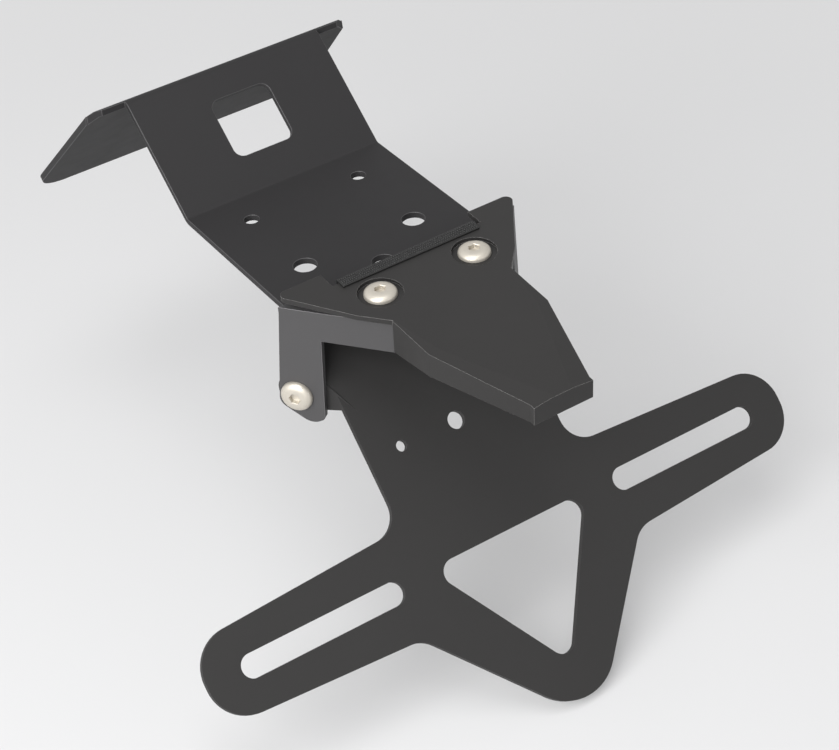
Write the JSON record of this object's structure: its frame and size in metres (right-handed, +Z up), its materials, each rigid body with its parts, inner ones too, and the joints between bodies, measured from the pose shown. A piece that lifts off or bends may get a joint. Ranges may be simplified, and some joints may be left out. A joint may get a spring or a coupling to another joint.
{
  "type": "number plate bracket",
  "caption": "Folded black sheet bracket that bolts under a motorbike tail and carries a slotted number plate hanger and a tapering tail cover.",
  "frame": {"origin": "middle of the two large bolt holes, on the top face of the flat plate", "axes": "+X to the rider's right, +Y forwards along the bike, +Z up, square to the flat plate"},
  "size_m": [0.198, 0.2269, 0.127],
  "materials": {
    "bracket_black": "satin black powder coat",
    "hinge_black": "satin black powder coat",
    "hanger_black": "satin black powder coat",
    "cover_black": "satin black powder coat",
    "trim_rubber": "matt rubber with a fine grain",
    "screw_steel": "bright turned",
    "washer_steel": "plain",
    "nut_steel": "plain",
    "spacer_steel": "turned"
  },
  "bodies": {
    "root": {"main_bracket": "bracket_black", "hinge_bracket": "hinge_black", "plate_hanger": "hanger_black", "tail_cover": "cover_black", "edge_trim": "trim_rubber", "cover_screw_left": "screw_steel", "cover_spacer_left": "spacer_steel", "cover_washer_left": "washer_steel", "cover_nut_left": "nut_steel", "tab_screw_left": "screw_steel", "tab_washer_left": "washer_steel", "tab_nut_left": "nut_steel", "cover_screw_right": "screw_steel", "cover_spacer_right": "spacer_steel", "cover_washer_right": "washer_steel", "cover_nut_right": "nut_steel", "tab_screw_right": "screw_steel", "tab_washer_right": "washer_steel", "tab_nut_right": "nut_steel"}
  },
  "joints": []
}
